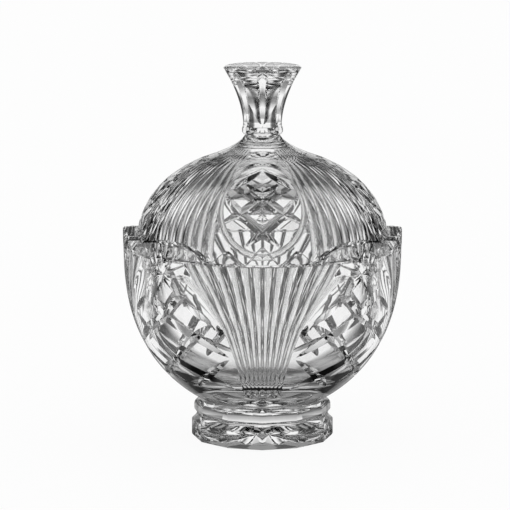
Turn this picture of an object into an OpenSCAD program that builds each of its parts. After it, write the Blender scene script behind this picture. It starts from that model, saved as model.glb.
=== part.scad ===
// Covered candy dish in pressed crystal: a footed bowl with a scalloped rim, and a domed lid with a knob.
// The origin is the middle of the foot's underside. Azimuth 0 is the front, -Y, and heights are above the table.

/* [Bowl] */
// Diameter of the bowl at its rim
rim_d = 139.2; // [130:0.2:146]
// Height of the step on which the points and arches of the rim stand
step_z = 95.3; // [92:0.1:99]
// Height of the rim's middle points and of its arches above the step
crown_h = 11.2; // [8:0.1:13]
// How much lower the two points beside each middle one are
side_drop = 2.4; // [0:0.1:4]
// Thickness of the wall between the step and the lid
rim_wall = 5.8; // [4.5:0.1:6.5]
// Thickness of the glass under the bowl's hollow, above the foot
floor_t = 8.5; // [7:0.5:12]
// Width of the ledge inside the rim that carries the lid
ledge_w = 3.6; // [2.5:0.1:5]

/* [Foot] */
// Diameter of the foot across its corners
foot_d = 71; // [66:1:76]
// Height of the foot's lower tier up to its groove
tier_z = 11.8; // [10:0.1:13]
// Height of the foot
foot_h = 19.5; // [18:0.5:22]
// Number of flats round the foot
foot_sides = 12; // [10:1:12]
// Diameter of the shallow recess under the foot
recess_d = 50; // [40:1:54]
// Depth of that recess
recess_t = 1.6; // [1:0.1:3]

/* [Lid] */
// Radial play between the lid and the rim's inside
lid_play = 0.8; // [0.4:0.1:1.2]
// Film of air between the lid and its ledge
seat_gap = 0.3; // [0.2:0.05:0.5]
// Height of the lid's dome from its upright edge to where the curve would close
dome_h = 51.5; // [48:0.5:54]
// Height of the lid's upright edge
edge_h = 1.6; // [1:0.1:3]
// Thickness of the lid's wall
lid_wall = 5.2; // [4.5:0.1:6]
// Diameter of the neck under the knob
neck_d = 17; // [15:0.5:20]
// Diameter of the knob
knob_d = 38.6; // [34:0.2:42]
// Height of the knob above the neck
knob_h = 34; // [31:0.5:37]

/* [Cutting] */
// Number of flutes in each fan of the bowl
fan_flutes = 10; // [8:1:11]
// Number of flutes in each of the lid's groups
lid_flutes = 8; // [7:1:10]
// Depth of a flute as a share of its width
flute_share = 0.19; // [0.12:0.01:0.2]
// Depth of the straight mitre cuts on the bowl
mitre_t = 1.9; // [1.2:0.1:2.2]
// Depth of the mitre cuts on the lid
lid_mitre_t = 1.6; // [1:0.1:1.8]
// Depth of the starbursts over the lattices
star_t = 0.9; // [0.5:0.1:1.3]
// Number of cuts in each starburst
star_cuts = 16; // [12:4:16]
// Depth of the rays under the foot
ray_t = 1.4; // [0.8:0.1:2]
// Number of rays under the foot
base_rays = 12; // [8:4:16]
// Number of leaves round the knob
knob_leaves = 8; // [6:1:8]

/* [Hidden] */
glass = [0.84, 0.87, 0.88, 0.6];
quarters = 4;
quarter = 360 / quarters;
round_steps = 40;
hollow_steps = 32;
proud = 1.5;
mitre_half = 49;
fine_half = 45;
leaf_half = 66;
ridge_t = 0.45;
// Depth, as a share of the full one, at a cut's end: it has left the surface there, so the cut ends in a point
tip = -0.2;

// Bowl values that follow from the sizes above
rim_r = rim_d / 2;
crown_z = step_z + crown_h;
waist_r = 0.4 * foot_d;
belly_power = 3;
belly_round = 0.82;
seat_r = rim_r - rim_wall;
ledge_r = seat_r - ledge_w;
ledge_z = step_z - 2.2;
floor_z = foot_h + floor_t;
hollow_power = 2.9;

// Lid values that follow from the sizes above
lid_r = seat_r - lid_play;
lid_z = ledge_z + seat_gap;
dome_z = lid_z + edge_h;
dome_power = 2.33;
dome_round = 0.517;
neck_r = neck_d / 2;
neck_z = dome_z + dome_h + 6.5;
knob_r = knob_d / 2;
flare_power = 1.76;
flare_share = 0.25;
flare_from = 0.86;

// Radius of the bowl's outside at a height
bowl_shape = function (z)
    let (t = min(1, max(0, (z - foot_h) / (crown_z - foot_h))))
    waist_r + (rim_r - waist_r) * pow(1 - pow(1 - t, belly_power), belly_round);

// Radius of the lid's outside at a height: the dome, and the flare that runs up into the neck
lid_shape = function (z)
    let (dome = lid_r * pow(1 - pow(min(1, max(0, (z - dome_z) / dome_h)), dome_power), dome_round))
    z < dome_z + flare_from * dome_h ? dome
        : max(dome, neck_r + flare_share * pow(max(0, neck_z - z), flare_power));

// Radius of the knob at a height: a collar, then a bell that opens upwards to a round edge
collar_r = neck_r + 1.7;
waist_share = 0.13;
widest_share = 0.93;
knob_shape = function (z)
    let (t = (z - neck_z) / knob_h)
    let (x = min(1, max(0, (t - waist_share) / (widest_share - waist_share))))
    t < waist_share ? collar_r : collar_r - 0.6 + (knob_r - collar_r + 0.6) * pow(x, 1.8);

// The point at azimuth a and height z, sunk by d below the surface that shape describes
function on(shape, a, z, d = 0) =
    let (e = 0.1)
    let (s = (shape(z + e) - shape(z - e)) / (2 * e))
    let (k = 1 / sqrt(1 + s * s))
    let (r = shape(z) - d * k)
    [r * sin(a), -r * cos(a), z + d * s * k];

function unit(v) = v / norm(v);
function flat_list(lists) = [for (l = lists) each l];
function ramp(a, b, t) = a + (b - a) * t;

// Faces between two rings of n points that start at p and q, seen from outside
function band(p, q, n) = flat_list([for (i = [0:n - 1])
    let (j = (i + 1) % n)
    [[p + i, p + j, q + i], [p + j, q + j, q + i]]]);

// A tool whose section at each station is one of the given rings, all with as many points
module swept(rings, closed = false) {
    n = len(rings[0]);
    last = len(rings) - 1;
    ends = closed ? band(last * n, 0, n) : [[for (i = [n - 1:-1:0]) i], [for (i = [0:n - 1]) last * n + i]];
    polyhedron(
        points = flat_list(rings),
        faces = concat(ends, flat_list([for (k = [0:last - 1]) band(k * n, (k + 1) * n, n)])),
        convexity = 4);
}

// A V cut along stations [azimuth, height, depth] of a surface. A negative depth ends it in a point.
module mitre(shape, path, half = mitre_half, closed = false) {
    last = len(path) - 1;
    at = [for (p = path) on(shape, p[0], p[1])];
    out = [for (i = [0:last]) unit(on(shape, path[i][0], path[i][1], -1) - at[i])];
    swept(closed = closed, rings = [for (i = [0:last])
        let (next = closed ? (i + 1) % (last + 1) : min(i + 1, last))
        let (back = closed ? (i + last) % (last + 1) : max(i - 1, 0))
        let (along = unit(at[next] - at[back]))
        let (side = unit(cross(along, out[i])))
        let (w = (path[i][2] + proud) * tan(half))
        [at[i] - out[i] * path[i][2], at[i] + out[i] * proud + side * w, at[i] + out[i] * proud - side * w]]);
}

// A panel of concave flutes with sharp ridges between them. Each of its rings is [height, share of the depth], and
// line gives a ridge's azimuth at a height. Where the share falls below 0 the flutes run out in round ends.
module fluted(shape, rings, count, line, steps = 3) {
    cols = count * steps;
    function place(c, ring) =
        let (z = ring[0])
        let (k = min(count - 1, floor(c / steps)))
        let (f = c / steps - k)
        let (a = line(k, z))
        let (b = line(k + 1, z))
        let (width = (b - a) * shape(z) * PI / 180)
        let (depth = ridge_t + flute_share * width * 4 * f * (1 - f))
        [ramp(a, b, f), z, ring[1] * (ring[1] < 0 ? 1 : depth)];
    inner = [for (r = rings) [for (c = [0:cols]) let (p = place(c, r)) on(shape, p[0], p[1], p[2])]];
    outer = [for (r = rings) [for (c = [cols:-1:0]) on(shape, place(c, r)[0], r[0], -proud)]];
    swept([for (i = [0:len(rings) - 1]) concat(inner[i], outer[i])]);
}

// The block behind an outline of [azimuth, height] points on the rim, bevelled towards its outer face. Its middle
// is at azimuth centre, and half_a is half its width in degrees.
module crown_block(outline, centre, half_a, bevel) {
    r_in = seat_r - 3;
    r_mid = rim_r - bevel;
    r_out = rim_r + 0.2;
    half_w = half_a * rim_r * PI / 180;
    shrunk = [for (p = outline) [
        ramp(p[0], centre, bevel / half_w),
        p[1] > step_z ? step_z + (p[1] - step_z) * (1 - bevel / crown_h) : p[1]]];
    points = concat(
        [for (p = outline) [r_in * sin(p[0]), -r_in * cos(p[0]), p[1]]],
        [for (p = outline) [r_mid * sin(p[0]), -r_mid * cos(p[0]), p[1]]],
        [for (p = shrunk) [r_out * sin(p[0]), -r_out * cos(p[0]), p[1]]]);
    n = len(outline);
    hull() polyhedron(points, [for (k = [0:2]) [for (i = [0:n - 1]) k * n + i]]);
}

// Heights of the bowl's rings of facets, closer together near the foot
bowl_rings = [for (k = [0:8]) ramp(foot_h, crown_z, pow(k / 8, 1.5))];
// Heights of the lid's rings of facets, closer together near the top of the dome
dome_rings = 6;
lid_rings = concat(
    [for (k = [0:dome_rings]) dome_z + dome_h * pow(sin(k * 72 / dome_rings), 2 / dome_power)],
    [for (k = [1:3]) ramp(dome_z + 0.965 * dome_h, neck_z, k / 3)]);

function up(share) = ramp(foot_h, step_z, share);

// The fan's outline and the azimuth of each of its ridges, which splay like a fountain towards the rim
fan_low = bowl_rings[2];
fan_foot_a = 11.4;
fan_splay_a = 22.2;
fan_line = function (k, z)
    let (s = 2 * k / fan_flutes - 1)
    let (half = fan_foot_a + fan_splay_a * pow(max(0, z - fan_low) / (step_z - fan_low), 2.25))
    half * (0.85 * s + 0.15 * pow(s, 3));
fan_rings = concat([[fan_low, tip]], [for (k = [3:7]) [bowl_rings[k], 1]], [[step_z + 0.6, 1]]);

// Straight cuts of the lattice beside each arch, as [degrees from the arch's middle, share of the height, depth]
lattice = [
    [[15, 0.85, tip], [8, 0.78, 1], [0, 0.665, 1], [-15, 0.545, 1], [-30.5, 0.415, tip]],
    [[-11, 0.79, tip], [-18, 0.71, 0.8], [-24, 0.65, tip]],
    [[24, 0.65, tip], [15, 0.545, 1], [0, 0.37, 1], [-15, 0.27, 1], [-30, 0.17, tip]],
    [[30.5, 0.415, tip], [15, 0.27, 1], [3, 0.16, tip]]];
// The broad shallow leaf between the starburst and the fan, in the same terms
side_leaf = [[-5.5, 0.92, tip], [-12, 0.86, 1], [-18.5, 0.765, 0.85], [-24.5, 0.65, 0.4], [-28.5, 0.53, tip]];
side_leaf_t = 1.3;
flat_half = 78;
star_share = 0.94;
star_reach = 16;

// A cut's nodes, with one more station half-way in each stretch that runs out in a point
function finer(nodes) = concat(flat_list([for (k = [0:len(nodes) - 2])
    let (next = nodes[k + 1])
    min(nodes[k][2], next[2]) < 0 ? [nodes[k], (nodes[k] + next) / 2] : [nodes[k]]]), [nodes[len(nodes) - 1]]);

// A cut's depth from its share of the full one: it stays nearly full until close to a pointed end
function full(share) = (1 - tip) * sqrt(max(0, share - tip) / (1 - tip)) + tip;

module lattice_cuts() {
    for (cut = lattice, side = [-1, 1])
        mitre(bowl_shape, [for (p = finer(cut)) [quarter / 2 + side * p[0], up(p[1]), full(p[2]) * mitre_t]]);
    for (side = [-1, 1])
        mitre(bowl_shape, [for (p = side_leaf) [quarter / 2 + side * p[0], up(p[1]), p[2] * side_leaf_t]], flat_half);
}

module starburst() {
    z = up(star_share);
    reach_a = star_reach / (bowl_shape(z) * PI / 180);
    for (i = [0:star_cuts / 2 - 1]) {
        turn = 360 * i / star_cuts;
        low = i % 2 == 0 ? 0.9 : 0.6;
        mitre(bowl_shape, [for (t = [-low, 0, 1])
            let (side = cos(turn) < 0 ? -t : t)
            [quarter / 2 + side * reach_a * sin(turn), z + side * star_reach * cos(turn), star_t * (t == 0 ? 1 : t > 0 ? 0.4 : tip)]],
            fine_half);
    }
}

// Outlines of the rim: three points over each fan and a round arch over each lattice
point_a = 15.2;
point_half_a = 7.75;
arch_a = 20.2;
tooth_bevel = 1.4;
function point_outline(middle, drop) = [
    [middle - point_half_a, step_z - 1], [middle, step_z - 1], [middle + point_half_a, step_z - 1],
    [middle + point_half_a, step_z], [middle + 0.5, crown_z - drop], [middle - 0.5, crown_z - drop],
    [middle - point_half_a, step_z]];
arch_outline = concat(
    [for (t = [-1:0.25:1]) [quarter / 2 + t * arch_a, step_z - 1]],
    [for (t = [0:22.5:180]) [quarter / 2 + arch_a * cos(t), step_z + crown_h * pow(sin(t), 0.8)]]);

module crown() {
    for (q = [0:quarters - 1])
        rotate(q * quarter) {
            crown_block(arch_outline, quarter / 2, arch_a, tooth_bevel);
            for (side = [-1:1])
                crown_block(point_outline(side * point_a, abs(side) * side_drop), side * point_a, point_half_a, tooth_bevel);
        }
}

module foot() {
    corner_r = foot_d / 2;
    bead_r = corner_r - 1.2;
    rotate(-90)
        rotate_extrude($fn = foot_sides)
            polygon([
                [0, 0], [corner_r - 1.2, 0], [corner_r, 1.2], [corner_r, tier_z - 3], [corner_r - 2, tier_z - 0.9],
                [corner_r - 2.6, tier_z], [bead_r - 0.7, tier_z + 1], [bead_r, tier_z + 2.4],
                [bead_r, foot_h - 2.6], [bead_r - 0.6, foot_h - 1.2], [bead_r - 1.8, foot_h], [0, foot_h + 1]]);
}

module base_star() {
    for (i = [0:base_rays - 1])
        rotate(i * 360 / base_rays)
            hull()
                polyhedron(
                    [for (r = [1, recess_d / 2 - 1.5], side = [-1, 0, 1])
                        [side * r * tan(160 / base_rays), r, side == 0 ? recess_t + ray_t : recess_t - 0.1]],
                    [[0, 1, 2], [3, 4, 5]]);
}

// The bowl's outside with everything that is pressed or cut into it
module bowl_outside() {
    difference() {
        union() {
            difference() {
                rotate_extrude($fn = round_steps)
                    polygon(concat([[0, foot_h]], [for (z = bowl_rings) [bowl_shape(z), z]], [[0, crown_z]]));
                difference() {
                    translate([0, 0, step_z]) cylinder(r = rim_r + 5, h = crown_h + 5, $fn = round_steps);
                    crown();
                    cylinder(r = seat_r - 2, h = crown_z + 10, $fn = 24);
                }
            }
            foot();
        }
        for (q = [0:quarters - 1])
            rotate(q * quarter) {
                fluted(bowl_shape, fan_rings, fan_flutes, fan_line);
                lattice_cuts();
                starburst();
            }
        base_star();
    }
}

module bowl_hollow() {
    depth = ledge_z - floor_z;
    rotate_extrude($fn = hollow_steps)
        polygon(concat(
            [[0, floor_z]],
            [for (t = [78:-15.6:0]) [ledge_r * pow(cos(t), 2 / hollow_power), ledge_z - depth * pow(sin(t), 2 / hollow_power)]],
            [[seat_r, ledge_z], [seat_r, crown_z + 5], [0, crown_z + 5]]));
}

module bowl() {
    color(glass)
        difference() {
            bowl_outside();
            bowl_hollow();
            translate([0, 0, -1]) cylinder(d = recess_d, h = recess_t + 1, $fn = round_steps);
        }
}

// The medallion's ring, and its cuts as [azimuth, share of the dome's height, depth]
medallion_share = 0.517;
medallion_high = 0.386;
medallion_w = 20.4;
medallion_ring_t = 1.1;
medallion_cuts = [
    [[-22.3, 0.688, tip], [-10.9, 0.512, 1], [0, 0.343, 1], [8.2, 0.21, tip]],
    [[-12.6, 0.772, tip], [0, 0.653, 1], [10.9, 0.512, 1], [19.5, 0.43, tip]],
    [[0, 0.86, tip], [12, 0.775, 0.7], [22.3, 0.688, tip]]];
// Where the lid's flutes begin and end on either side of a medallion
flutes_from_a = 22;

function over(share) = dome_z + share * dome_h;

module medallion() {
    ring = [for (t = [0:22.5:337.5])
        let (z = over(medallion_share + medallion_high * cos(t)))
        [asin(medallion_w * sin(t) / lid_shape(z)), z, medallion_ring_t]];
    mitre(lid_shape, ring, closed = true);
    for (cut = medallion_cuts, side = [-1, 1])
        mitre(lid_shape, [for (p = finer(cut)) [side * p[0], over(p[1]), full(p[2]) * lid_mitre_t]]);
    for (turn = [0, 90])
        mitre(lid_shape, [for (t = [-1, 0, 1])
            [t * 6 * cos(turn), over(medallion_share - 0.015 + t * 0.08 * sin(turn)), star_t * ramp(0.8, tip, abs(t))]],
            fine_half);
}

lid_line = function (k, z) ramp(flutes_from_a, quarter - flutes_from_a, k / lid_flutes);
lid_flute_rings = [for (k = [0:dome_rings + 1]) [lid_rings[k], k > 0 && k <= dome_rings ? 1 : tip]];

top_z = neck_z + knob_h;
widest_z = neck_z + widest_share * knob_h;

module knob_blank() {
    rotate_extrude($fn = 3 * knob_leaves)
        polygon(concat(
            [[0, neck_z - 2], [neck_r, neck_z - 0.5], [collar_r, neck_z + 1], [collar_r, neck_z + 3]],
            [for (t = [waist_share:0.16:widest_share]) [knob_shape(neck_z + (t + 0.001) * knob_h), neck_z + t * knob_h]],
            [[knob_r, widest_z], [knob_r - 0.7, widest_z + 1.2], [knob_r - 2.2, top_z - 0.3], [knob_r - 4, top_z], [0, top_z]]));
}

// The long leaves round the knob: their points stand apart at the top, and their sides meet below
module knob_leaf_cuts() {
    leaf = [[0.9, tip], [0.77, 0.9], [0.45, 1.8], [0.25, 1.6], [0.06, tip]];
    for (i = [0:knob_leaves - 1])
        mitre(knob_shape, [for (p = leaf) [i * 360 / knob_leaves, neck_z + p[0] * knob_h, p[1]]], leaf_half);
}

module knob_scallops() {
    count = 2 * knob_leaves;
    for (i = [0:count - 1])
        rotate((i + 0.5) * 360 / count)
            hull()
                polyhedron(
                    [[0, -knob_r - 1, widest_z], [-1.6, -knob_r - 1, top_z + 0.5], [1.6, -knob_r - 1, top_z + 0.5],
                     [0, -knob_r + 4.5, top_z - 0.1], [-1.1, -knob_r + 4.5, top_z + 0.5], [1.1, -knob_r + 4.5, top_z + 0.5]],
                    [[0, 1, 2], [3, 4, 5]]);
}

// The lid's outside with everything that is pressed or cut into it
module lid_outside() {
    difference() {
        union() {
            rotate_extrude($fn = round_steps)
                polygon(concat(
                    [[0, lid_z], [lid_r - 0.7, lid_z], [lid_r, lid_z + 0.7]],
                    [for (z = lid_rings) [lid_shape(z), z]],
                    [[0, neck_z]]));
            knob_blank();
        }
        for (q = [0:quarters - 1])
            rotate(q * quarter) {
                fluted(lid_shape, lid_flute_rings, lid_flutes, lid_line);
                medallion();
            }
        knob_leaf_cuts();
        knob_scallops();
    }
}

module lid_hollow() {
    r = lid_r - lid_wall;
    h = dome_h - lid_wall - 0.8;
    rotate_extrude($fn = hollow_steps)
        polygon(concat(
            [[0, lid_z - 1], [r + 0.7, lid_z - 1], [r, lid_z + 0.7]],
            [for (t = [0:15.6:78]) [r * pow(cos(t), 2 * dome_round), dome_z + h * pow(sin(t), 2 / dome_power)]],
            [[0, dome_z + h]]));
}

module lid() {
    color(glass)
        difference() {
            lid_outside();
            lid_hollow();
        }
}

bowl();
lid();
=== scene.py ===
"""Covered candy dish in cut crystal: a footed bowl with a scalloped rim, and a domed lid with a flared knob.

Shapes are worked out in millimetres and scaled to metres when a piece is finished.
Azimuth 0 is the front, -Y, and azimuths grow towards +X.
"""

import logging
import math
from dataclasses import dataclass, field
from enum import Enum
from typing import Callable, Iterable, Sequence

import bmesh
import bpy
from bmesh.types import BMesh
from mathutils import Matrix, Vector

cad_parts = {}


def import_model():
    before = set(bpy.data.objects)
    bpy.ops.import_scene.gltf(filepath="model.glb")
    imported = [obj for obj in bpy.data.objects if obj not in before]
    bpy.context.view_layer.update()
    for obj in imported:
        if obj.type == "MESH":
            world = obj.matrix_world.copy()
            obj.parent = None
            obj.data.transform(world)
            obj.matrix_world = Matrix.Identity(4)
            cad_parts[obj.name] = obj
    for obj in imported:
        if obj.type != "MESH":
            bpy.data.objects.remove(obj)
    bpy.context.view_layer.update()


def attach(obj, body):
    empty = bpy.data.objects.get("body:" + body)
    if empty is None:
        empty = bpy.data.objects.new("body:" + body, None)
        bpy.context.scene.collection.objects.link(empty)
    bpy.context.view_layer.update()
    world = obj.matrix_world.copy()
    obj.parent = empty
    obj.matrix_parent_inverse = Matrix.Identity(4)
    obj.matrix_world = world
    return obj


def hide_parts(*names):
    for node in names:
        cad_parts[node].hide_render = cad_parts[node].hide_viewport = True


log = logging.getLogger("candy_dish")

MILLIMETRE = 0.001
QUARTERS = 4
QUARTER = 360 / QUARTERS
ROUND_STEPS = 240
FLUTE_STEPS = 8
FLUTE_ROWS = 44
CREASE = 24.0
# How far a cutter's open side stands clear of the surface
PROUD = 1.6
# Depth, as a share of the full one, where a cut ends: it has left the surface there, so it ends in a point
TIP = -0.2
# Distances under which points are one, at a solid's seam and where cutters have crossed
SEAM = 1e-4
WELD = 2e-3
SLIVER = 1e-3

Nodes = Sequence[Sequence[float]]
Steps = Sequence[tuple[float, float]]
Socket = bpy.types.NodeSocket


def ramp(a: float, b: float, t: float) -> float:
    """The value a share t of the way from a to b."""
    return a + (b - a) * t


def polar(radius: float, azimuth: float, z: float) -> Vector:
    """The point at a radius, an azimuth in degrees and a height."""
    a = math.radians(azimuth)
    return Vector((radius * math.sin(a), -radius * math.cos(a), z))


def full(share: float) -> float:
    """A cut's depth from its share: nearly the full one until close to its pointed end."""
    return (1 - TIP) * math.sqrt(max(0.0, share - TIP) / (1 - TIP)) + TIP


class Surface:
    """A surface of revolution round Z that cutters follow."""

    def radius(self, z: float) -> float:
        """Radius at a height."""
        raise NotImplementedError

    def point(self, azimuth: float, z: float, depth: float = 0.0) -> Vector:
        """The point at an azimuth and a height, sunk below the surface.

        Args:
            azimuth: Degrees from the front.
            z: Height of the surface point.
            depth: How far the point is sunk, square to the surface.

        Returns:
            The point, in millimetres.
        """
        step = 0.1
        slope = (self.radius(z + step) - self.radius(z - step)) / (2 * step)
        scale = 1 / math.sqrt(1 + slope * slope)
        return polar(self.radius(z) - depth * scale, azimuth, z + depth * slope * scale)


@dataclass(frozen=True)
class BowlWall(Surface):
    """The bowl's outside, a rounded belly that rises almost upright to the rim."""

    low_r: float = 28.4
    rim_r: float = 69.6
    low_z: float = 19.5
    high_z: float = 106.5
    power: float = 3.0
    roundness: float = 0.82

    def radius(self, z: float) -> float:
        """Radius at a height."""
        t = min(1.0, max(0.0, (z - self.low_z) / (self.high_z - self.low_z)))
        return self.low_r + (self.rim_r - self.low_r) * (1 - (1 - t) ** self.power) ** self.roundness


@dataclass(frozen=True)
class Dome(Surface):
    """A superellipse on end, with a flare that runs up into a neck."""

    rim_r: float = 63.0
    low_z: float = 95.0
    height: float = 51.5
    power: float = 2.33
    roundness: float = 0.517
    neck_r: float = 8.5
    neck_z: float = 153.0
    flare_share: float = 0.25
    flare_power: float = 1.76
    flare_from: float = 0.86

    def radius(self, z: float) -> float:
        """Radius at a height.

        Args:
            z: Height.

        Returns:
            The radius, in millimetres.
        """
        rise = min(1.0, max(0.0, (z - self.low_z) / self.height))
        dome = self.rim_r * (1 - rise ** self.power) ** self.roundness
        if z < self.low_z + self.flare_from * self.height:
            return dome
        flare = self.neck_r + self.flare_share * max(0.0, self.neck_z - z) ** self.flare_power
        return max(dome, flare)

    def over(self, share: float) -> float:
        """Height at a share of the dome's own."""
        return self.low_z + share * self.height


@dataclass(frozen=True)
class Bell(Surface):
    """The knob's outside: a collar, then a bell that opens upwards."""

    collar_r: float = 10.2
    rim_r: float = 19.3
    low_z: float = 153.0
    height: float = 34.0
    waist_share: float = 0.13
    widest_share: float = 0.965
    pinch: float = 0.6
    power: float = 1.8

    def radius(self, z: float) -> float:
        """Radius at a height.

        Args:
            z: Height.

        Returns:
            The radius, in millimetres.
        """
        t = (z - self.low_z) / self.height
        if t < self.waist_share:
            return self.collar_r
        x = min(1.0, (t - self.waist_share) / (self.widest_share - self.waist_share))
        low = self.collar_r - self.pinch
        return low + (self.rim_r - low) * x ** self.power

    def up(self, share: float) -> float:
        """Height at a share of the knob's own."""
        return self.low_z + share * self.height


BOWL_WALL = BowlWall()
DOME = Dome()
BELL = Bell()


def turned_out(bm: BMesh) -> BMesh:
    """The same solid with its faces outwards.

    Args:
        bm: The solid, which is changed.

    Returns:
        The same mesh.
    """
    bmesh.ops.recalc_face_normals(bm, faces=bm.faces)
    if bm.calc_volume(signed=True) < 0:
        bmesh.ops.reverse_faces(bm, faces=bm.faces)
    return bm


def spun(profile: Sequence[tuple[float, float]], steps: int = ROUND_STEPS, turn: float = 0.0) -> BMesh:
    """A closed solid of revolution.

    Args:
        profile: Radius and height of each point, from the axis and back to it.
        steps: Number of sides.
        turn: Azimuth of the first corner, in degrees.

    Returns:
        The solid, with its faces outwards.
    """
    bm = bmesh.new()
    verts = [bm.verts.new(polar(r, turn, z)) for r, z in profile]
    edges = [bm.edges.new(pair) for pair in zip(verts, verts[1:])]
    bmesh.ops.spin(
        bm, geom=verts + edges, axis=(0, 0, 1), cent=(0, 0, 0), angle=math.tau, steps=steps, use_merge=True)
    bmesh.ops.remove_doubles(bm, verts=bm.verts, dist=SEAM)
    return turned_out(bm)


def lofted(sections: Sequence[Sequence[Vector]], closed: bool = False) -> BMesh:
    """A solid made by extruding one section through the others.

    Args:
        sections: Corner points of each section, as many in each.
        closed: Whether the last section joins the first again.

    Returns:
        The solid, with its faces outwards.
    """
    bm = bmesh.new()
    first = bm.faces.new([bm.verts.new(p) for p in sections[0]])
    face = first
    stations = list(sections[1:]) + ([sections[0]] if closed else [])
    for section in stations:
        made = bmesh.ops.extrude_face_region(bm, geom=[face])["geom"]
        if face is not first:
            bmesh.ops.delete(bm, geom=[face], context="FACES_ONLY")
        face = next(part for part in made if isinstance(part, bmesh.types.BMFace))
        for vert, place in zip(face.verts, section):
            vert.co = place
    if closed:
        bmesh.ops.delete(bm, geom=[first, face], context="FACES_ONLY")
        bmesh.ops.remove_doubles(bm, verts=bm.verts, dist=SEAM)
    return turned_out(bm)


def hulled(points: Iterable[Vector]) -> BMesh:
    """The convex solid round some points, with its faces outwards.

    Args:
        points: The points.

    Returns:
        The solid.
    """
    bm = bmesh.new()
    for place in points:
        bm.verts.new(place)
    made = bmesh.ops.convex_hull(bm, input=bm.verts)
    inside = made["geom_interior"] + made["geom_unused"]
    spare = {part for part in inside if isinstance(part, bmesh.types.BMVert)}
    bmesh.ops.delete(bm, geom=list(spare), context="VERTS")
    return turned_out(bm)


def slab(cols: int, rows: int, place: Callable[[float, float, bool], Vector]) -> BMesh:
    """A grid with a thickness, bent into place.

    Args:
        cols: Number of columns.
        rows: Number of rows.
        place: Gives a point from the shares across and up, and from whether it lies on the deep side.

    Returns:
        The solid, with its faces outwards.
    """
    bm = bmesh.new()
    bmesh.ops.create_grid(bm, x_segments=cols, y_segments=rows, size=1.0)
    made = bmesh.ops.extrude_face_region(bm, geom=list(bm.faces))["geom"]
    lifted = [part for part in made if isinstance(part, bmesh.types.BMVert)]
    bmesh.ops.translate(bm, verts=lifted, vec=(0, 0, 1))
    for vert in bm.verts:
        vert.co = place((vert.co.x + 1) / 2, (vert.co.y + 1) / 2, vert.co.z < 0.5)
    return turned_out(bm)


def gathered(parts: Iterable[BMesh]) -> BMesh:
    """Several solids that stay clear of each other, as one mesh.

    Args:
        parts: The solids, which give up their meshes.

    Returns:
        One mesh of them all.
    """
    whole = bmesh.new()
    for part in parts:
        mesh = bpy.data.meshes.new("gathering")
        part.to_mesh(mesh)
        part.free()
        whole.from_mesh(mesh)
        bpy.data.meshes.remove(mesh)
    return whole


def round_the_quarters(make: Callable[[], BMesh]) -> BMesh:
    """One solid for each quarter turn, as one mesh.

    Args:
        make: Makes the solid of the first quarter.

    Returns:
        One mesh of all four.
    """
    parts = []
    for quarter in range(QUARTERS):
        part = make()
        turn = Matrix.Rotation(quarter * math.pi / 2, 3, "Z")
        bmesh.ops.rotate(part, verts=part.verts, cent=(0, 0, 0), matrix=turn)
        parts.append(part)
    return gathered(parts)


def smoothed(nodes: Nodes, steps: int) -> list[tuple[float, ...]]:
    """Points along a smooth curve through nodes.

    Args:
        nodes: The nodes' values, as many in each.
        steps: Number of points for each stretch between two nodes.

    Returns:
        The points, each with as many values as a node.
    """
    first = [2 * a - b for a, b in zip(nodes[0], nodes[1])]
    last = [2 * a - b for a, b in zip(nodes[-1], nodes[-2])]
    line = [first, *nodes, last]
    found = []
    for before, a, b, after in zip(line, line[1:], line[2:], line[3:]):
        for step in range(steps):
            t = step / steps
            found.append(tuple(
                0.5 * (2 * q + (r - p) * t + (2 * p - 5 * q + 4 * r - s) * t ** 2
                       + (3 * q - p - 3 * r + s) * t ** 3)
                for p, q, r, s in zip(before, a, b, after)))
    found.append(tuple(nodes[-1]))
    return found


def swept(surface: Surface, path: Nodes, outline: Callable[[float], list], closed: bool) -> BMesh:
    """A cutter whose outline follows a path on a surface.

    Args:
        surface: What the path runs along.
        path: Azimuth, height and depth of each station; below 0 the cutter has left the surface.
        outline: Gives the outline's points for a depth, as distances to the side and below the surface.
        closed: Whether the path is a ring.

    Returns:
        The cutter.
    """
    at = [surface.point(a, z) for a, z, _ in path]
    out = [(surface.point(a, z, -1) - place).normalized() for (a, z, _), place in zip(path, at)]
    last = len(path) - 1
    sections = []
    for i, (_, _, depth) in enumerate(path):
        after = at[(i + 1) % len(at)] if closed else at[min(i + 1, last)]
        before = at[i - 1] if closed else at[max(i - 1, 0)]
        side = (after - before).cross(out[i]).normalized()
        sections.append([at[i] + side * across - out[i] * down for across, down in outline(depth)])
    return lofted(sections, closed)


def mitre(surface: Surface, path: Nodes, half: float, closed: bool = False) -> BMesh:
    """A cutter for a V-shaped groove, whose flanks stand at half degrees to the V's axis.

    Args:
        surface: What the groove is cut into.
        path: Azimuth, height and depth of each station.
        half: Angle in degrees between a flank and the V's axis.
        closed: Whether the path is a ring.

    Returns:
        The cutter.
    """
    slope = math.tan(math.radians(half))

    def outline(depth: float) -> list:
        """The V with its open side clear of the surface."""
        reach = (depth + PROUD) * slope
        return [(0.0, depth), (reach, -PROUD), (-reach, -PROUD)]

    return swept(surface, path, outline, closed)


def gouge(surface: Surface, path: Nodes, wheel: float, closed: bool = False) -> BMesh:
    """A cutter for a round groove, as a grinding wheel with an edge of radius wheel leaves it.

    Args:
        surface: What the groove is cut into.
        path: Azimuth, height and depth of each station.
        wheel: Radius of the wheel's edge.
        closed: Whether the path is a ring.

    Returns:
        The cutter.
    """
    deepest = max(depth for _, _, depth in path)
    reach = math.sqrt(2 * wheel * (deepest + PROUD))
    half = 8

    def outline(depth: float) -> list:
        """The wheel's edge with its open side clear of the surface."""
        across = [reach * k / half for k in range(-half, half + 1)]
        return [(x, depth - x ** 2 / (2 * wheel)) for x in across]

    return swept(surface, path, outline, closed)


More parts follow.
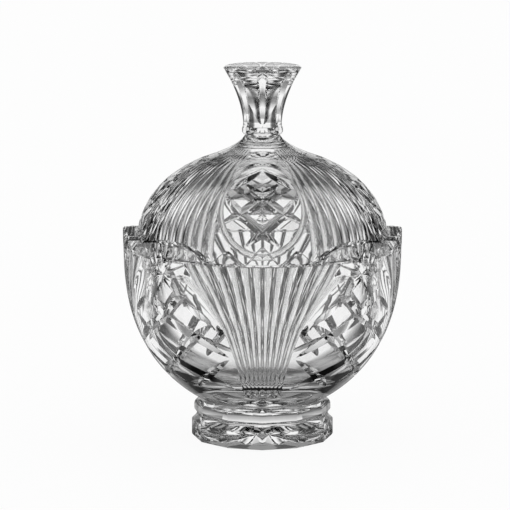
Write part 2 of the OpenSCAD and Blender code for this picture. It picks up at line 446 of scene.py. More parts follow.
@dataclass
class Block:
    """A blank of crystal that is worked with boolean tools and then finished as one piece."""

    name: str
    blank: BMesh
    tools: list[bpy.types.Object] = field(default_factory=list)

    def __post_init__(self) -> None:
        """Makes the blank an object."""
        self.body = self._object(self.name, self.blank)

    def _object(self, name: str, bm: BMesh) -> bpy.types.Object:
        """An object with a mesh's shape, which the mesh gives up.

        Args:
            name: The object's name.
            bm: The shape.

        Returns:
            The object, linked to the scene.
        """
        mesh = bpy.data.meshes.new(name)
        bm.to_mesh(mesh)
        bm.free()
        item = bpy.data.objects.new(name, mesh)
        bpy.context.scene.collection.objects.link(item)
        return item

    def _work(self, operation: str, name: str, tool: BMesh) -> None:
        """Adds one boolean step with a tool.

        Args:
            operation: What the step does.
            name: The step's name.
            tool: The tool's shape.
        """
        item = self._object(f"tool_{name}", tool)
        step = self.body.modifiers.new(name, "BOOLEAN")
        step.operation = operation
        step.solver = "MANIFOLD"
        step.object = item
        self.tools.append(item)

    def cut(self, name: str, tool: BMesh) -> None:
        """Cuts a tool's shape out of the block."""
        self._work("DIFFERENCE", name, tool)

    def join(self, name: str, piece: BMesh) -> None:
        """Fuses a piece to the block."""
        self._work("UNION", name, piece)

    def finish(self, crease: float) -> bpy.types.Object:
        """Carries out the steps and turns the block into a finished piece in metres.

        Args:
            crease: Angle in degrees from which an edge stays sharp.

        Returns:
            The piece.
        """
        graph = bpy.context.evaluated_depsgraph_get()
        worked = bpy.data.meshes.new_from_object(self.body.evaluated_get(graph))
        self.body.modifiers.clear()
        bm = bmesh.new()
        bm.from_mesh(worked)
        bmesh.ops.remove_doubles(bm, verts=bm.verts, dist=WELD)
        bmesh.ops.dissolve_degenerate(bm, edges=bm.edges, dist=SLIVER)
        bmesh.ops.triangulate(bm, faces=bm.faces)
        bmesh.ops.scale(bm, verts=bm.verts, vec=(MILLIMETRE,) * 3)
        open_edges = sum(1 for edge in bm.edges if len(edge.link_faces) != 2)
        for face in bm.faces:
            face.smooth = True
        bm.to_mesh(worked)
        bm.free()
        worked.set_sharp_from_angle(angle=math.radians(crease))
        worked.materials.clear()
        self.body.data = worked
        for item in self.tools:
            bpy.data.objects.remove(item)
        log.info("%s: %d faces, %d open edges", self.name, len(worked.polygons), open_edges)
        return self.body


@dataclass(frozen=True)
class Crystal:
    """Polished clear crystal: a dense glass with the faint ripple that pressing leaves."""

    name: str
    tint: tuple[float, float, float] = (0.975, 0.975, 0.975)
    ior: float = 1.53
    roughness: float = 0.0
    ripple_scale: float = 90.0
    ripple_strength: float = 0.03

    def make(self) -> bpy.types.Material:
        """Builds the material.

        Returns:
            The material.
        """
        material = bpy.data.materials.new(self.name)
        material.use_nodes = True
        tree = material.node_tree
        shader = tree.nodes["Principled BSDF"]
        shader.inputs["Base Color"].default_value = (*self.tint, 1)
        shader.inputs["Transmission Weight"].default_value = 1
        shader.inputs["IOR"].default_value = self.ior
        shader.inputs["Roughness"].default_value = self.roughness
        place = tree.nodes.new("ShaderNodeTexCoord")
        ripple = tree.nodes.new("ShaderNodeTexNoise")
        ripple.inputs["Scale"].default_value = self.ripple_scale
        ripple.inputs["Detail"].default_value = 1
        bump = tree.nodes.new("ShaderNodeBump")
        bump.inputs["Strength"].default_value = self.ripple_strength
        bump.inputs["Distance"].default_value = MILLIMETRE
        tree.links.new(place.outputs["Object"], ripple.inputs["Vector"])
        tree.links.new(ripple.outputs["Fac"], bump.inputs["Height"])
        tree.links.new(bump.outputs["Normal"], shader.inputs["Normal"])
        return material


class Mark(Enum):
    """The kinds of tooth on the bowl's rim."""

    POINT = "point"
    ARCH = "arch"


@dataclass
class Bowl:
    """The bowl on its foot, pressed as one piece."""

    step_z: float = 97.0
    crown_h: float = 9.5
    side_drop: float = 2.4
    step_band: float = 2.0
    rim_wall: float = 5.8
    ledge_w: float = 3.6
    ledge_drop: float = 0.6
    floor_z: float = 28.0
    hollow_power: float = 2.9
    foot_corner_r: float = 35.5
    foot_sides: int = 12
    foot_bevel: float = 1.2
    bead_inset: float = 1.2
    tier_z: float = 11.8
    recess_r: float = 25.0
    recess_t: float = 1.6
    base_rays: int = 12
    ray_t: float = 1.4
    ray_spread: float = 160.0
    fan_flutes: int = 10
    fan_low_z: float = 30.4
    fan_end_z: float = 28.6
    fan_run_out: float = 4.5
    fan_foot_a: float = 11.4
    fan_splay_a: float = 22.2
    fan_splay_power: float = 2.25
    fan_over: float = 0.6
    flute_share: float = 0.21
    ridge_t: float = 0.15
    mitre_t: float = 2.2
    mitre_half: float = 49.0
    side_leaf_t: float = 1.3
    side_leaf_wheel: float = 20.0
    star_share: float = 0.94
    star_reach: float = 14.0
    star_reach_up: float = 18.0
    star_cuts: int = 16
    star_t: float = 1.1
    star_half: float = 45.0
    point_a: float = 15.2
    point_half_a: float = 7.75
    arch_a: float = 20.2
    arch_power: float = 0.8
    tooth_bevel: float = 0.9
    foot_diamonds: int = 6
    diamond_rise: float = 0.9
    diamond_high: float = 3.2
    diamond_t: float = 0.95
    diamond_half: float = 50.0

    # Cuts through nodes of azimuth from the arch's middle, share of the belly's height and share of the depth
    lattice = (
        ((15, 0.85, TIP), (8, 0.78, 1), (0, 0.665, 1), (-15, 0.55, 1), (-30.5, 0.415, TIP)),
        ((-11, 0.79, TIP), (-18, 0.71, 0.8), (-24, 0.65, TIP)),
        ((24, 0.65, TIP), (15, 0.55, 1), (0, 0.37, 1), (-15, 0.27, 1), (-30, 0.17, TIP)),
        ((30.5, 0.415, TIP), (15, 0.27, 1), (3, 0.16, TIP)),
    )
    side_leaf = (
        (-5, 0.935, TIP), (-12, 0.865, 1), (-18.5, 0.77, 0.6), (-24.5, 0.655, 0.2), (-28.5, 0.53, TIP),
    )

    def __post_init__(self) -> None:
        """Works out the sizes that follow from others."""
        self.wall = BOWL_WALL
        self.crown_z = self.step_z + self.crown_h
        self.seat_r = self.wall.rim_r - self.rim_wall
        self.ledge_r = self.seat_r - self.ledge_w
        self.ledge_z = self.step_z - self.ledge_drop

    def up(self, share: float) -> float:
        """Height at a share of the belly's own."""
        return ramp(self.wall.low_z, self.step_z - self.step_band, share)

    def blank(self) -> BMesh:
        """The belly, before anything is cut into it.

        Returns:
            The solid belly.
        """
        rings = [ramp(self.wall.low_z, self.crown_z, (k / 48) ** 1.3) for k in range(49)]
        profile = [(0, self.wall.low_z)] + [(self.wall.radius(z), z) for z in rings] + [(0, self.crown_z)]
        return spun(profile)

    def foot(self) -> BMesh:
        """The foot's two tiers, with a groove between them.

        Returns:
            The solid foot.
        """
        corner = self.foot_corner_r
        bevel = self.foot_bevel
        bead = corner - self.bead_inset
        tier = self.tier_z
        top = self.wall.low_z
        profile = [
            (0, 0), (corner - bevel, 0), (corner - 0.3, 0.4), (corner, bevel),
            (corner, tier - 3), (corner - 0.5, tier - 2.2), (corner - 2, tier - 0.9), (corner - 2.6, tier),
            (bead - 0.9, tier + 0.9), (bead - 0.2, tier + 1.7), (bead, tier + 2.6),
            (bead, top - 3), (bead - 0.3, top - 1.8), (bead - 0.9, top - 0.9), (bead - 1.9, top),
            (0, top + 1),
        ]
        return spun(profile, self.foot_sides)

    def hollow(self) -> BMesh:
        """The inside, with the ledge for the lid.

        Returns:
            The cutter for it.
        """
        depth = self.ledge_z - self.floor_z
        power = 2 / self.hollow_power
        curve = []
        for k in range(45, -1, -1):
            t = math.radians(2 * k)
            curve.append((self.ledge_r * math.cos(t) ** power, self.ledge_z - depth * math.sin(t) ** power))
        over = self.crown_z + 5
        curve[0] = (0, self.floor_z)
        return spun(curve + [(self.seat_r, self.ledge_z), (self.seat_r, over), (0, over)])

    def tooth(self, mark: Mark, middle: float, drop: float = 0.0) -> BMesh:
        """One tooth of the rim.

        Args:
            mark: Its kind.
            middle: Azimuth of its middle.
            drop: How much lower than the rim's highest points it ends.

        Returns:
            The tooth, with its outer edges bevelled.
        """
        low = self.step_z - 1
        bevel = self.tooth_bevel
        if mark is Mark.POINT:
            half, top = self.point_half_a, self.crown_z - drop
            step = self.step_z
            outline = [(half, low), (half, step), (0.5, top), (-0.5, top), (-half, step), (-half, low)]
        else:
            half = self.arch_a
            outline = [(half * k / 12, low) for k in range(-12, 13)]
            for k in range(37):
                t = math.radians(5 * k)
                rise = self.crown_h * math.sin(t) ** self.arch_power
                outline.append((half * math.cos(t), self.step_z + rise))
        inner = self.seat_r - 3
        edge = self.wall.rim_r - bevel
        outer = self.wall.rim_r + 0.2
        narrower = 1 - bevel / (math.radians(half) * self.wall.rim_r)
        points = [polar(r, middle + a, z) for a, z in outline for r in (inner, edge)]
        for a, z in outline:
            lifted = max(0.0, z - self.step_z) * (1 - bevel / self.crown_h)
            points.append(polar(outer, middle + a * narrower, min(z, self.step_z) + lifted))
        return hulled(points)

    def clearing(self) -> Block:
        """What is cut away above the step, round the teeth.

        Returns:
            A ring with the teeth left out of it, to be cut from the bowl.
        """
        over = self.crown_z + 5
        inner, outer = self.seat_r - 2, self.wall.rim_r + 5
        low = self.step_z
        ring = spun([(inner, low), (outer, low), (outer, over), (inner, over), (inner, low)])
        block = Block("clearing", ring)
        block.cut("arches", round_the_quarters(lambda: self.tooth(Mark.ARCH, QUARTER / 2)))
        block.cut("middle_points", round_the_quarters(lambda: self.tooth(Mark.POINT, 0)))
        for side in (-1, 1):
            middle = side * self.point_a
            points = round_the_quarters(lambda: self.tooth(Mark.POINT, middle, self.side_drop))
            block.cut(f"side_points{side}", points)
        return block

    def fan_line(self, share: float, z: float) -> float:
        """Azimuth of the fan's line at a share of its width, at a height.

        Args:
            share: Share of the fan's width, from 0 to 1.
            z: Height.

        Returns:
            The azimuth, in degrees from the fan's middle.
        """
        s = 2 * share - 1
        rise = max(0.0, z - self.fan_low_z) / (self.step_z - self.fan_low_z)
        half = self.fan_foot_a + self.fan_splay_a * rise ** self.fan_splay_power
        bend = ramp(0.04, 0.28, rise ** 2)
        return half * ((1 - bend) * s + bend * s ** 3)

    def fan(self) -> BMesh:
        """The cutter for one fan of flutes.

        Returns:
            The cutter.
        """
        high = self.step_z + self.fan_over

        def place(across: float, up: float, deep: bool) -> Vector:
            """One point of the cutter.

            Args:
                across: Share of the fan's width.
                up: Share of its height.
                deep: Whether the point lies in the crystal.

            Returns:
                The point.
            """
            z = ramp(self.fan_end_z, high, up)
            azimuth = self.fan_line(across, z)
            if not deep:
                return self.wall.point(azimuth, z, -PROUD)
            part = across * self.fan_flutes
            start = min(self.fan_flutes - 1, math.floor(part + 1e-6))
            f = min(1.0, max(0.0, part - start))
            span = self.fan_line((start + 1) / self.fan_flutes, z) - self.fan_line(start / self.fan_flutes, z)
            width = math.radians(span) * self.wall.radius(z)
            depth = self.ridge_t + self.flute_share * width * 4 * f * (1 - f)
            run_out = min(1.0, max(0.0, (z - self.fan_end_z) / self.fan_run_out))
            share = ramp(TIP, 1, math.sin(run_out * math.pi / 2))
            return self.wall.point(azimuth, z, share * (depth if share > 0 else 1))

        return slab(self.fan_flutes * FLUTE_STEPS, FLUTE_ROWS, place)

    def lattice_cut(self, nodes: Nodes, side: int) -> BMesh:
        """The cutter for one cut of a lattice, on one side of the arch's middle.

        Args:
            nodes: The cut's nodes.
            side: -1 or 1, for the mirrored one.

        Returns:
            The cutter.
        """
        path = [
            (QUARTER / 2 + side * a, self.up(share), full(max(TIP, min(1.0, depth))) * self.mitre_t)
            for a, share, depth in smoothed(nodes, 6)]
        return mitre(self.wall, path, self.mitre_half)

    def star_cut(self, index: int) -> BMesh:
        """The cutter for one cut of a starburst, whose upper end runs out at the arch's edge.

        Args:
            index: Number of the cut, counted round the starburst.

        Returns:
            The cutter.
        """
        z = self.up(self.star_share)
        turn = math.radians(360 * index / self.star_cuts)
        rising = 1 if math.cos(turn) >= 0 else -1
        low = self.star_reach * (0.9 if index % 2 == 0 else 0.6)
        high = ramp(self.star_reach, self.star_reach_up, abs(math.cos(turn)))
        swing = math.degrees(1 / self.wall.radius(z))
        path = []
        for k in range(-4, 7):
            t = k / 4 if k < 0 else k / 6
            reach = t * (low if k < 0 else high) * rising
            depth = self.star_t * (ramp(1, TIP, -t) if k < 0 else ramp(1, 0.35, t))
            path.append((QUARTER / 2 + reach * swing * math.sin(turn), z + reach * math.cos(turn), depth))
        return mitre(self.wall, path, self.star_half)

    def side_leaf_cut(self, side: int) -> BMesh:
        """The cutter for the broad shallow leaf between a starburst and the fan on one side of it.

        Args:
            side: -1 or 1.

        Returns:
            The cutter.
        """
        path = [
            (QUARTER / 2 + side * a, self.up(share), max(TIP, min(1.0, depth)) * self.side_leaf_t)
            for a, share, depth in smoothed(self.side_leaf, 8)]
        return gouge(self.wall, path, self.side_leaf_wheel)

    def diamond_cut(self, index: int, lean: int) -> BMesh:
        """The cutter for one of the short slanting cuts that cross each other at a fan's foot.

        Args:
            index: Number of the diamond, from one side.
            lean: -1 or 1, the way the cut slants.

        Returns:
            The cutter.
        """
        pitch = 2 * self.fan_foot_a / self.foot_diamonds
        middle = pitch * (index - (self.foot_diamonds - 1) / 2)
        path = [
            (middle + lean * t * 0.8 * pitch, self.fan_low_z + self.diamond_rise + t * self.diamond_high,
             self.diamond_t * ramp(1, TIP, abs(t)))
            for t in (-1, -0.5, 0, 0.5, 1)]
        return mitre(self.wall, path, self.diamond_half)

    def base_ray(self, index: int) -> BMesh:
        """The cutter for one ray under the foot.

        Args:
            index: Number of the ray.

        Returns:
            The cutter.
        """
        a = 360 * index / self.base_rays
        low, far = self.recess_t - 0.1, self.recess_r - 1.5
        slope = math.tan(math.radians(self.ray_spread / self.base_rays))
        points = []
        for r in (1.0, far):
            side = polar(1, a + 90, 0) * (r * slope)
            middle = polar(r, a, low)
            points += [middle + side, middle - side, middle + Vector((0, 0, self.ray_t + 0.1))]
        return hulled(points)

    def build(self, finish: Crystal) -> bpy.types.Object:
        """Makes the bowl.

        Args:
            finish: What it is made of.

        Returns:
            The finished piece, which stands for the frame's bowl.
        """
        block = Block("crystal_bowl", self.blank())
        clearing = self.clearing()
        step = block.body.modifiers.new("clearing", "BOOLEAN")
        step.operation = "DIFFERENCE"
        step.solver = "MANIFOLD"
        step.object = clearing.body
        block.tools += [clearing.body, *clearing.tools]
        block.join("foot", self.foot())
        block.cut("fans", round_the_quarters(self.fan))
        for i, nodes in enumerate(self.lattice):
            for side in (-1, 1):
                block.cut(f"lattice{i}{side}", round_the_quarters(lambda: self.lattice_cut(nodes, side)))
        for side in (-1, 1):
            block.cut(f"side_leaf{side}", round_the_quarters(lambda: self.side_leaf_cut(side)))
        for i in range(self.star_cuts // 2):
            block.cut(f"star{i}", round_the_quarters(lambda: self.star_cut(i)))
        for i in range(self.foot_diamonds):
            for lean in (-1, 1):
                block.cut(f"diamond{i}{lean}", round_the_quarters(lambda: self.diamond_cut(i, lean)))
        block.cut("hollow", self.hollow())
        recess = [(0, -1), (self.recess_r, -1), (self.recess_r, self.recess_t), (0, self.recess_t)]
        block.cut("recess", spun(recess))
        block.cut("rays", gathered(self.base_ray(i) for i in range(self.base_rays)))
        piece = block.finish(CREASE)
        piece.data.materials.append(finish.make())
        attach(piece, "root")
        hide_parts("bowl")
        return piece


@dataclass
class Lid:
    """The domed lid with its knob, pressed as one piece."""

    rest_z: float = 96.7
    wall_t: float = 5.2
    edge_bevel: float = 0.7
    flutes: int = 8
    flutes_from_a: float = 22.0
    flute_share: float = 0.22
    ridge_t: float = 0.15
    mitre_t: float = 2.0
    mitre_half: float = 51.0
    medallion_share: float = 0.517
    medallion_high: float = 0.386
    medallion_w: float = 20.4
    ring_t: float = 1.1
    ring_wheel: float = 1.5
    boss_t: float = 1.0
    boss_high: float = 5.4
    boss_short: float = 0.6
    boss_flat: float = 0.85
    boss_drop: float = 0.005
    boss_half: float = 48.0
    flats_low: float = 9.4
    flats_high: float = 0.6
    flats_wide: float = 1.045
    leaves: int = 8
    leaf_half: float = 51.0
    notch_in: float = 4.5
    notch_out_w: float = 1.6
    notch_in_w: float = 1.1

    # Cuts through nodes of azimuth, share of the dome's height and share of the depth
    medallion = (
        ((-22.3, 0.688, TIP), (-10.9, 0.512, 1), (0, 0.343, 1), (8.2, 0.21, TIP)),
        ((-12.6, 0.772, TIP), (0, 0.653, 1), (10.9, 0.512, 1), (19.5, 0.43, TIP)),
        ((0, 0.86, TIP), (12, 0.775, 0.7), (22.3, 0.688, TIP)),
    )
    # A leaf's nodes: share of the knob's height, and depth
    leaf = (
        (0.95, TIP), (0.91, 1.7), (0.84, 2.4), (0.7, 2.2), (0.5, 1.6), (0.3, 1.0), (0.18, 0.5), (0.08, TIP),
    )

    def blank(self) -> BMesh:
        """The dome with its edge, before anything is cut into it.

        Returns:
            The solid dome.
        """
        edge_z = self.rest_z + self.edge_bevel
        turns = [math.radians(1.5 * k) for k in range(52)]
        rings = [DOME.low_z + DOME.height * math.sin(t) ** (2 / DOME.power) for t in turns]
        rings = [edge_z] + [z for z in rings if z > edge_z + 0.2]
        low = rings[-1]
        rings += [ramp(low, DOME.neck_z, k / 14) for k in range(1, 15)]
        edge = [(0, self.rest_z), (DOME.rim_r - self.edge_bevel, self.rest_z)]
        return spun(edge + [(DOME.radius(z), z) for z in rings] + [(0, DOME.neck_z)])

    def knob(self) -> BMesh:
        """The knob with its collar, before its leaves are cut.

        Returns:
            The solid knob.
        """
        low = DOME.neck_z
        top = BELL.up(1)
        widest = BELL.up(BELL.widest_share)
        out = BELL.collar_r
        collar = [
            (0, low - 2), (DOME.neck_r, low - 0.5), (out - 0.5, low + 0.3), (out, low + 1.2), (out, low + 3),
            (out - 0.4, low + 4),
        ]
        heights = [BELL.up(ramp(0.14, BELL.widest_share, k / 28)) for k in range(29)]
        bell = [(BELL.radius(z), z) for z in heights]
        rim = BELL.rim_r
        edge = [
            (rim, widest + 0.2), (rim - 0.15, widest + 0.5), (rim - 0.6, top - 0.25), (rim - 1.4, top),
            (0, top),
        ]
        return spun(collar + bell + edge, 192)

    def hollow(self) -> BMesh:
        """The inside of the dome.

        Returns:
            The cutter for it.
        """
        r = DOME.rim_r - self.wall_t
        h = DOME.height - self.wall_t - 0.8
        bevel = self.edge_bevel
        curve = []
        for k in range(3, 46):
            t = math.radians(2 * k)
            out = r * max(0.0, math.cos(t)) ** (2 * DOME.roundness)
            curve.append((out, DOME.low_z + h * math.sin(t) ** (2 / DOME.power)))
        curve[-1] = (0, DOME.low_z + h)
        rest = self.rest_z
        edge = [(0, rest - 1), (r + bevel, rest - 1), (r + bevel, rest), (r, rest + bevel)]
        return spun(edge + curve)

    def flute_group(self) -> BMesh:
        """The cutter for one group of flutes.

        Returns:
            The cutter.
        """
        low, high = self.rest_z + self.edge_bevel, DOME.over(1.02)
        wide = QUARTER - 2 * self.flutes_from_a

        def place(across: float, up: float, deep: bool) -> Vector:
            """One point of the cutter.

            Args:
                across: Share of the group's width.
                up: Share of its height.
                deep: Whether the point lies in the crystal.

            Returns:
                The point.
            """
            z = low + (high - low) * math.sin(up * math.pi / 2) ** 0.95
            azimuth = self.flutes_from_a + across * wide
            if not deep:
                return DOME.point(azimuth, z, -PROUD)
            part = across * self.flutes
            f = part - min(self.flutes - 1, math.floor(part + 1e-6))
            width = math.radians(wide / self.flutes) * DOME.radius(z)
            depth = self.ridge_t + self.flute_share * width * 4 * max(0.0, f * (1 - f))
            share = ramp(TIP, 1, min(1.0, (z - low) / 3.5, (high - z) / 2.5))
            return DOME.point(azimuth, z, share * (depth if share > 0 else 1))

        return slab(self.flutes * FLUTE_STEPS, FLUTE_ROWS, place)

    def medallion_ring(self) -> BMesh:
        """The cutter for the ring round one medallion.

        Returns:
            The cutter.
        """
        path = []
        for k in range(72):
            t = math.radians(5 * k)
            z = DOME.over(self.medallion_share + self.medallion_high * math.cos(t))
            azimuth = math.degrees(math.asin(self.medallion_w * math.sin(t) / DOME.radius(z)))
            path.append((azimuth, z, self.ring_t))
        return gouge(DOME, path, self.ring_wheel, closed=True)

    def medallion_cut(self, nodes: Nodes, side: int) -> BMesh:
        """The cutter for one cut of a medallion, on one side of its middle.

        Args:
            nodes: The cut's nodes.
            side: -1 or 1, for the mirrored one.

        Returns:
            The cutter.
        """
        path = [
            (side * a, DOME.over(share), full(max(TIP, min(1.0, depth))) * self.mitre_t)
            for a, share, depth in smoothed(nodes, 6)]
        return mitre(DOME, path, self.mitre_half)

    def boss_cut(self, index: int) -> BMesh:
        """The cutter for one line of the small star in a medallion's middle.

        Args:
            index: Number of the line.

        Returns:
            The cutter.
        """
        turn = math.pi * index / 4
        z = DOME.over(self.medallion_share - self.boss_drop)
        reach = self.boss_high * (1 if index % 2 == 0 else self.boss_short)
        swing = math.degrees(reach / DOME.radius(z))
        path = [
            (t * swing * math.sin(turn), z + t * reach * math.cos(turn) * self.boss_flat,
             self.boss_t * ramp(1, TIP, abs(t)))
            for t in (-1, -0.5, 0, 0.5, 1)]
        return mitre(DOME, path, self.boss_half)

    def flare(self) -> BMesh:
        """The flats round the neck's foot, as one solid.

        Returns:
            The solid, a little wider than the neck.
        """
        low, high = DOME.neck_z - self.flats_low, DOME.neck_z - self.flats_high
        rings = [ramp(low, high, k / 4) for k in range(5)]
        profile = [(0, low)] + [(DOME.radius(z) * self.flats_wide, z) for z in rings] + [(0, high)]
        return spun(profile, 2 * self.leaves, 360 / self.leaves / 4)

    def leaf_cut(self, index: int) -> BMesh:
        """The cutter for one long leaf of the knob.

        Args:
            index: Number of the leaf.

        Returns:
            The cutter.
        """
        azimuth = 360 * index / self.leaves
        path = [(azimuth, BELL.up(share), depth) for share, depth in smoothed(self.leaf, 6)]
        return mitre(BELL, path, self.leaf_half)

    def scallop(self, index: int) -> BMesh:
        """The cutter for one notch in the knob's top edge.

        Args:
            index: Number of the notch.

        Returns:
            The cutter.
        """
        azimuth = 360 * (index + 0.5) / (2 * self.leaves)
        side = polar(1, azimuth + 90, 0)
        top = BELL.up(1)
        out, back = BELL.rim_r + 1, BELL.rim_r - self.notch_in
        points = [polar(out, azimuth, BELL.up(BELL.widest_share)), polar(back, azimuth, top - 0.1)]
        for r, width in ((out, self.notch_out_w), (back, self.notch_in_w)):
            above = polar(r, azimuth, top + 0.5)
            points += [above + side * width, above - side * width]
        return hulled(points)

    def build(self, finish: Crystal) -> bpy.types.Object:
        """Makes the lid.

        Args:
            finish: What it is made of.

        Returns:
            The finished piece, which stands for the frame's lid.
        """
        block = Block("crystal_lid", self.blank())
        block.join("flare", self.flare())
        block.join("knob", self.knob())
        block.cut("flutes", round_the_quarters(self.flute_group))
        block.cut("rings", round_the_quarters(self.medallion_ring))
        for i, nodes in enumerate(self.medallion):
            for side in (-1, 1):
                block.cut(f"medallion{i}{side}", round_the_quarters(lambda: self.medallion_cut(nodes, side)))
        for i in range(4):
            block.cut(f"boss{i}", round_the_quarters(lambda: self.boss_cut(i)))
        block.cut("leaves", gathered(self.leaf_cut(i) for i in range(0, self.leaves, 2)))
        block.cut("leaves_between", gathered(self.leaf_cut(i) for i in range(1, self.leaves, 2)))
        block.cut("scallops", gathered(self.scallop(i) for i in range(2 * self.leaves)))
        block.cut("hollow", self.hollow())
        piece = block.finish(CREASE)
        piece.data.materials.append(finish.make())
        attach(piece, "root")
        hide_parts("lid")
        return piece


@dataclass
class Shade:
    """Adds the nodes of one shader tree that a formula on numbers needs."""

    tree: bpy.types.NodeTree

    def number(self, operation: str, *values: object) -> Socket:
        """A sum on numbers and sockets.

        Args:
            operation: The math node's operation.
            values: Its inputs, each a number or a socket.

        Returns:
            The result's socket.
        """
        node = self.tree.nodes.new("ShaderNodeMath")
        node.operation = operation
        for socket, value in zip(node.inputs, values):
            if isinstance(value, Socket):
                self.tree.links.new(value, socket)
            else:
                socket.default_value = value
        return node.outputs[0]

    def stops(self, value: Socket, steps: Steps) -> Socket:
        """A grey read off a ramp.

        Args:
            value: Where on the ramp, from 0 to 1.
            steps: Position and grey of each stop.

        Returns:
            The colour's socket.
        """
        node = self.tree.nodes.new("ShaderNodeValToRGB")
        elements = node.color_ramp.elements
        for element, (position, grey) in zip(elements, (steps[0], steps[-1])):
            element.position = position
            element.color = (grey, grey, grey, 1)
        for position, grey in steps[1:-1]:
            elements.new(position).color = (grey, grey, grey, 1)
        self.tree.links.new(value, node.inputs[0])
        return node.outputs["Color"]

    def place(self, output: str) -> tuple[Socket, Socket, Socket]:
        """The three parts of a texture coordinate.

        Args:
            output: Name of the coordinate.

        Returns:
            The sockets of X, Y and Z.
        """
        coordinate = self.tree.nodes.new("ShaderNodeTexCoord")
        split = self.tree.nodes.new("ShaderNodeSeparateXYZ")
        self.tree.links.new(coordinate.outputs[output], split.inputs[0])
        return split.outputs["X"], split.outputs["Y"], split.outputs["Z"]

    def cards(self, x: Socket, y: Socket, count: float, dark: float) -> Socket:
        """White and black cards that alternate round the dish, with a white one in front and behind.

        Args:
            x: The direction's part along X.
            y: The direction's part along Y.
            count: Number of white cards.
            dark: Grey of the black ones.

        Returns:
            The grey's socket.
        """
        azimuth = self.number("ARCTAN2", x, y)
        wave = self.number("COSINE", self.number("MULTIPLY", azimuth, count))
        share = self.number("MULTIPLY_ADD", wave, 0.5, 0.5)
        return self.stops(share, ((0.22, dark), (0.36, 0.5), (0.46, 1.0)))


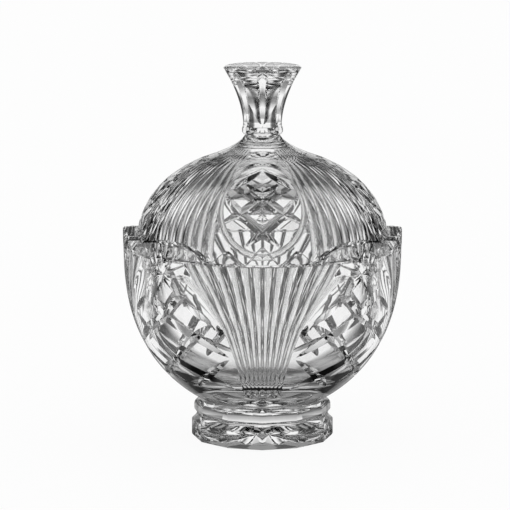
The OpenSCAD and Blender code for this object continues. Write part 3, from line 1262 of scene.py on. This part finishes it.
@dataclass
class Studio:
    """The pale floor, the light and the camera."""

    camera_place: tuple[float, float, float] = (0.0, -1.4797, 0.338)
    looks_at: tuple[float, float, float] = (-0.0037, 0.0, 0.092)
    lens: float = 211.8
    floor_size: float = 6.0
    floor_white: float = 0.93
    floor_grey: float = 0.82
    floor_roughness: float = 0.9
    card_count: float = 6.0
    card_dark: float = 0.05
    # Grey of the black cards painted into the floor's glow, which only the crystal sees
    painted_floor_card_dark: float = 0.04
    # Grey of the floor's glow by distance from the dish, as the crystal sees it: painted shade of the dish,
    # darker under it and darkest in a ring just round its foot
    painted_dish_shade_steps = ((0.0, 0.32), (0.03, 0.3), (0.037, 0.08), (0.05, 0.4), (0.1, 0.95), (0.4, 1.0))
    # Grey to which the floor's painted black cards pale close to the dish
    painted_card_near_steps = ((0.0, 0.35), (0.09, 0.35), (0.14, 0.0))
    # Grey of the room by height, from straight down at 0 to straight up at 1
    room_steps = (
        (0.0, 1.0), (0.5, 0.45), (0.535, 0.9), (0.56, 1.0), (0.6, 0.3), (0.64, 0.15),
        (0.7, 1.0), (0.8, 1.0), (0.88, 0.5), (1.0, 1.0),
    )

    def camera(self) -> None:
        """Puts the camera at the photograph's angle."""
        camera = bpy.data.cameras.new("camera")
        camera.lens = self.lens
        camera.clip_end = 50
        item = bpy.data.objects.new("camera", camera)
        item.location = self.camera_place
        item.rotation_euler = (Vector(self.looks_at) - item.location).to_track_quat("-Z", "Y").to_euler()
        bpy.context.scene.collection.objects.link(item)
        bpy.context.scene.camera = item

    def floor(self) -> None:
        """Lays the floor: white and softly shadowed to the camera, with painted cards and shade for the
        crystal.
        """
        bm = bmesh.new()
        bmesh.ops.create_grid(bm, x_segments=1, y_segments=1, size=self.floor_size / 2)
        mesh = bpy.data.meshes.new("floor")
        bm.to_mesh(mesh)
        bm.free()
        material = bpy.data.materials.new("pale_floor_painted_shade")
        material.use_nodes = True
        tree = material.node_tree
        shade = Shade(tree)
        shader = tree.nodes["Principled BSDF"]
        shader.inputs["Base Color"].default_value = (self.floor_grey, self.floor_grey, self.floor_grey, 1)
        shader.inputs["Roughness"].default_value = self.floor_roughness
        x, y, _ = shade.place("Object")
        squares = [shade.number("MULTIPLY", part, part) for part in (x, y)]
        away = shade.number("SQRT", shade.number("ADD", *squares))
        # Painted dark cards, paled close to the dish, times the painted shade under and round the dish
        cards = shade.cards(x, y, self.card_count, self.painted_floor_card_dark)
        paler = shade.number("MAXIMUM", cards, shade.stops(away, self.painted_card_near_steps))
        cards = shade.number("MULTIPLY", paler, shade.stops(away, self.painted_dish_shade_steps))
        path = tree.nodes.new("ShaderNodeLightPath")
        sight = path.outputs["Is Camera Ray"]
        # White to the camera; to the crystal the floor's glow carries the painted cards and painted shade
        glow_with_painted_shade = shade.number("MAXIMUM", cards, sight)
        through = shade.number("MAXIMUM", path.outputs["Is Transmission Ray"], path.outputs["Is Glossy Ray"])
        glow = tree.nodes.new("ShaderNodeEmission")
        tree.links.new(glow_with_painted_shade, glow.inputs["Color"])
        mix = tree.nodes.new("ShaderNodeMixShader")
        share = shade.number("MULTIPLY", shade.number("MAXIMUM", sight, through), self.floor_white)
        tree.links.new(share, mix.inputs["Fac"])
        tree.links.new(shader.outputs[0], mix.inputs[1])
        tree.links.new(glow.outputs[0], mix.inputs[2])
        tree.links.new(mix.outputs[0], tree.nodes["Material Output"].inputs["Surface"])
        mesh.materials.append(material)
        item = bpy.data.objects.new("floor", mesh)
        bpy.context.scene.collection.objects.link(item)

    def light(self) -> None:
        """Lights the dish by a studio of pale and dark cards, which the crystal bends into its facets."""
        world = bpy.data.worlds.new("studio")
        bpy.context.scene.world = world
        world.use_nodes = True
        tree = world.node_tree
        tree.nodes.clear()
        shade = Shade(tree)
        x, y, z = shade.place("Generated")
        height = shade.stops(shade.number("MULTIPLY_ADD", z, 0.5, 0.5), self.room_steps)
        cards = shade.number("MULTIPLY", shade.cards(x, y, self.card_count, self.card_dark), height)
        path = tree.nodes.new("ShaderNodeLightPath")
        plain = shade.number("MAXIMUM", path.outputs["Is Camera Ray"], path.outputs["Is Diffuse Ray"])
        room = tree.nodes.new("ShaderNodeBackground")
        room.inputs["Strength"].default_value = 1.0
        tree.links.new(shade.number("MAXIMUM", cards, plain), room.inputs["Color"])
        out = tree.nodes.new("ShaderNodeOutputWorld")
        tree.links.new(room.outputs[0], out.inputs["Surface"])

    def build(self) -> None:
        """Sets up the camera, the floor and the light."""
        self.camera()
        self.floor()
        self.light()
        bpy.context.scene.view_settings.view_transform = "Standard"


def main() -> None:
    """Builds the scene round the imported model."""
    logging.basicConfig(level=logging.INFO, format="%(message)s")
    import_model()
    Studio().build()
    for piece in (Bowl().build(Crystal("bowl_crystal")), Lid().build(Crystal("lid_crystal"))):
        log.info("%s is in place", piece.name)


if __name__ == "__main__":
    main()
